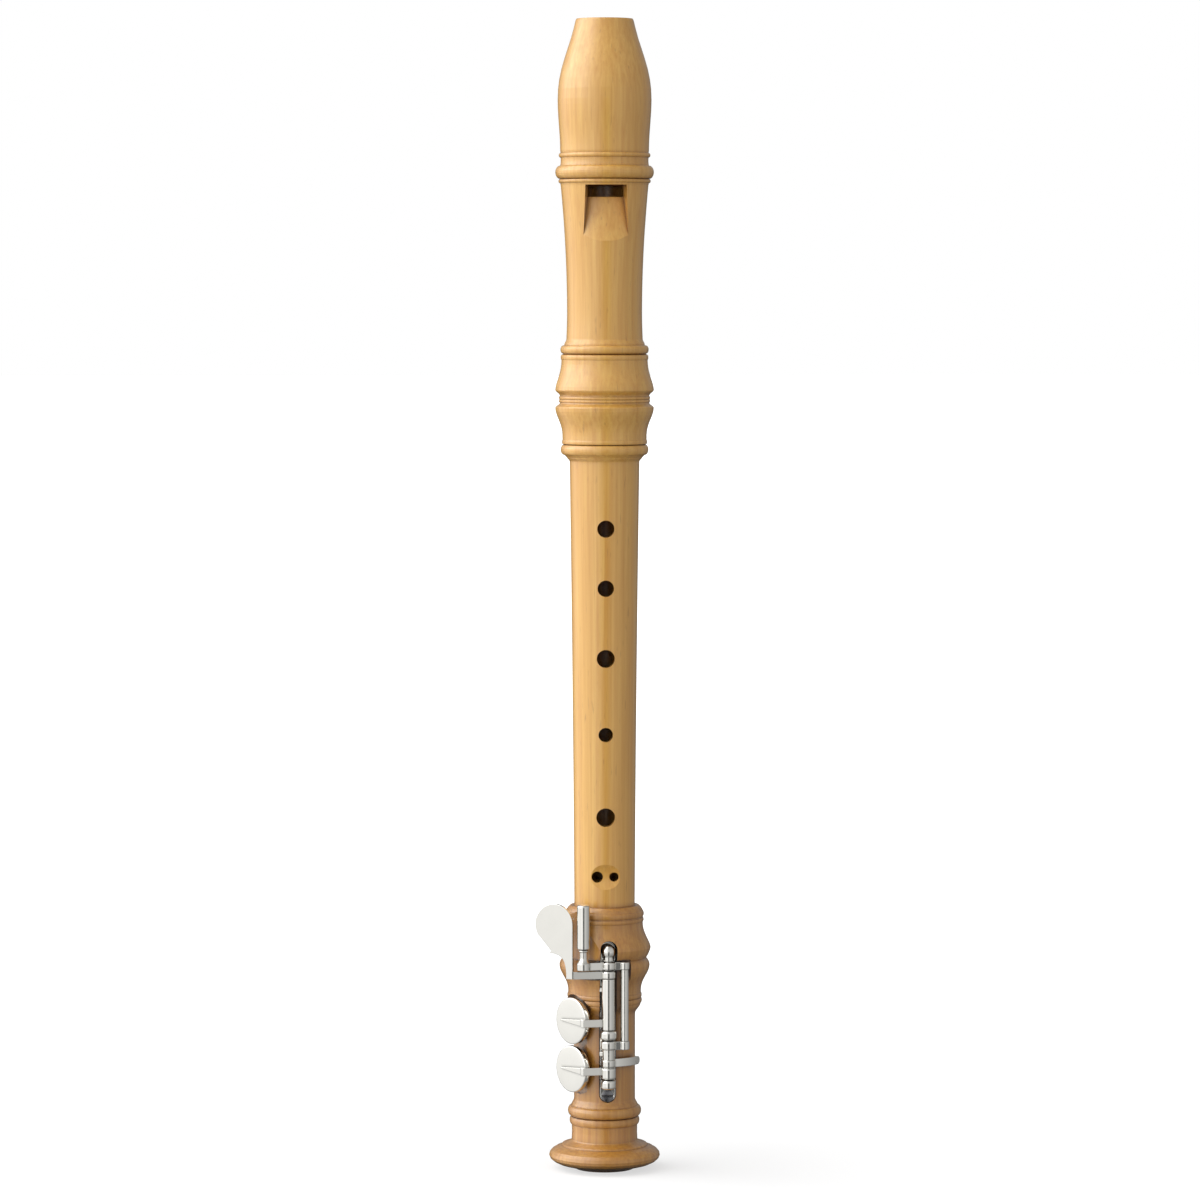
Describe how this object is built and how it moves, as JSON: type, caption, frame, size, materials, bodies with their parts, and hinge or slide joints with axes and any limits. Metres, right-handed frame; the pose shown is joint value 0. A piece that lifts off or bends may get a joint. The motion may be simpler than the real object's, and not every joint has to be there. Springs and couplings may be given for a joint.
{
  "type": "soprano recorder",
  "caption": "Three-part wooden duct flute with a keyed foot joint: turned rings, beak and window, finger holes, sprung pad keys and a flared bell.",
  "frame": {"origin": "where the bore's axis meets the bottom face of the foot joint", "axes": "+Z along the bore towards the beak, -Y the front with the finger holes, +X to the right as seen from the front"},
  "size_m": [0.0359, 0.0318, 0.328],
  "materials": {
    "boxwood": "oiled, satin",
    "cedar": "bare",
    "cork": "bare cork",
    "nickel_silver": "mirror polished",
    "steel": "blued and polished",
    "pad_leather": "soft kid leather"
  },
  "bodies": {
    "body": {"middle_joint": "boxwood", "upper_tenon_cork": "cork", "lower_tenon_cork": "cork"},
    "head": {"head_joint": "boxwood", "windway_block": "cedar"},
    "foot": {"foot_joint": "boxwood", "key_plate": "nickel_silver", "plate_screws": "steel", "ball_post": "nickel_silver", "middle_post": "nickel_silver", "lower_post": "nickel_silver", "hinge_rod": "steel", "upper_spring": "steel", "lower_spring": "steel"},
    "leaf_key": {"leaf_touch": "nickel_silver", "leaf_key_tube": "nickel_silver", "leaf_stop": "nickel_silver", "leaf_stop_cork": "cork", "upper_cup_arm": "nickel_silver", "upper_pad_cup": "nickel_silver", "upper_pad": "pad_leather"},
    "roller_key": {"roller_arm": "nickel_silver", "roller_pin": "nickel_silver", "bridge_rod": "nickel_silver", "roller_key_collar": "nickel_silver", "roller_key_tube": "nickel_silver", "tail_lever": "nickel_silver", "tail_cork": "cork", "lower_cup_arm": "nickel_silver", "lower_pad_cup": "nickel_silver", "lower_pad": "pad_leather"},
    "roller": {"touch_roller": "nickel_silver"}
  },
  "joints": [
    {"name": "head_slide", "type": "slide", "parent": "body", "child": "head", "axis": [0, 0, 1], "range_m": [0, 0.018]},
    {"name": "foot_turn", "type": "hinge", "parent": "body", "child": "foot", "pos_m": [0, 0, 0.06], "axis": [0, 0, 1], "continuous": true},
    {"name": "leaf_key_press", "type": "hinge", "parent": "foot", "child": "leaf_key", "pos_m": [0.00068, -0.01118, 0.05], "axis": [0, 0, -1], "range_deg": [0, 8], "stiffness_Nm_per_rad": 0.02, "springref_deg": -17.19, "deforming": ["upper_spring"]},
    {"name": "roller_key_press", "type": "hinge", "parent": "foot", "child": "roller_key", "pos_m": [0.00068, -0.01118, 0.04], "axis": [0, 0, -1], "range_deg": [0, 8], "stiffness_Nm_per_rad": 0.02, "springref_deg": -17.19, "deforming": ["lower_spring"]},
    {"name": "roller_spin", "type": "hinge", "parent": "roller_key", "child": "roller", "pos_m": [-0.00648, -0.01282, 0.07], "axis": [0, 0, 1], "continuous": true}
  ]
}
